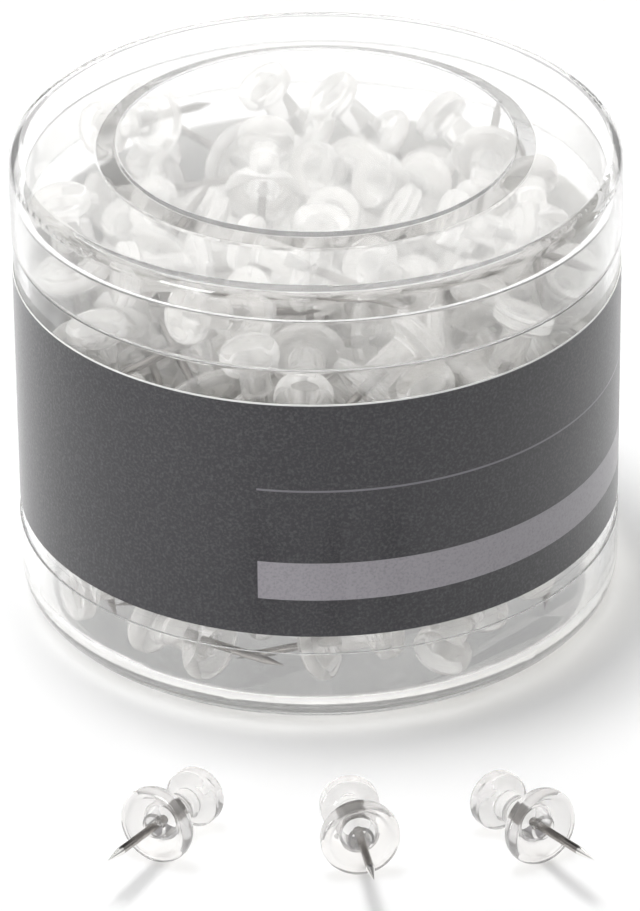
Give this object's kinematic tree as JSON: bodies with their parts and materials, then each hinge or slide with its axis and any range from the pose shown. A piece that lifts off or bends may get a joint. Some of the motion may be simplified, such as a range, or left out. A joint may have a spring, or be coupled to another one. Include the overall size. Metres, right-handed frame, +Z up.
{
  "type": "push pins in a lidded tub",
  "caption": "Clear round tub with a lift-off lid and a dark label band, filled with clear push pins, with loose push pins lying in front; each pin is a moulded head on a steel needle.",
  "frame": {"origin": "middle of the tub's flat foot, on the surface it stands on", "axes": "+Z up along the tub's axis, -Y towards the loose pins at the front, +X to the right seen from the front"},
  "size_m": [0.0826, 0.1295, 0.0672],
  "materials": {
    "clear_plastic": "clear, glossy, lightly scuffed",
    "label_paper": "printed charcoal, satin coated",
    "pin_plastic": "clear moulded, glossy",
    "needle_steel": "drawn wire, ground point"
  },
  "bodies": {
    "tub": {"tub": "clear_plastic", "label_band": "label_paper", "heap_heads_01": "pin_plastic", "heap_heads_02": "pin_plastic", "heap_heads_03": "pin_plastic", "heap_heads_04": "pin_plastic", "heap_heads_05": "pin_plastic", "heap_heads_06": "pin_plastic", "heap_heads_07": "pin_plastic", "heap_heads_08": "pin_plastic", "heap_heads_09": "pin_plastic", "heap_heads_10": "pin_plastic", "heap_needles_01": "needle_steel", "heap_needles_02": "needle_steel", "heap_needles_03": "needle_steel", "heap_needles_04": "needle_steel", "heap_needles_05": "needle_steel", "heap_needles_06": "needle_steel", "heap_needles_07": "needle_steel", "heap_needles_08": "needle_steel", "heap_needles_09": "needle_steel", "heap_needles_10": "needle_steel"},
    "lid": {"lid": "clear_plastic"},
    "loose_pin_left": {"loose_pin_left_head": "pin_plastic", "loose_pin_left_needle": "needle_steel"},
    "loose_pin_middle": {"loose_pin_middle_head": "pin_plastic", "loose_pin_middle_needle": "needle_steel"},
    "loose_pin_right": {"loose_pin_right_head": "pin_plastic", "loose_pin_right_needle": "needle_steel"}
  },
  "joints": [
    {"name": "lid_lift", "type": "slide", "parent": "tub", "child": "lid", "axis": [0, 0, 1], "range_m": [0, 0.04]},
    {"name": "loose_pin_left_pick_up", "type": "slide", "parent": "tub", "child": "loose_pin_left", "axis": [0, 0, 1], "range_m": [0, 0.05]},
    {"name": "loose_pin_middle_pick_up", "type": "slide", "parent": "tub", "child": "loose_pin_middle", "axis": [0, 0, 1], "range_m": [0, 0.05]},
    {"name": "loose_pin_right_pick_up", "type": "slide", "parent": "tub", "child": "loose_pin_right", "axis": [0, 0, 1], "range_m": [0, 0.05]}
  ]
}
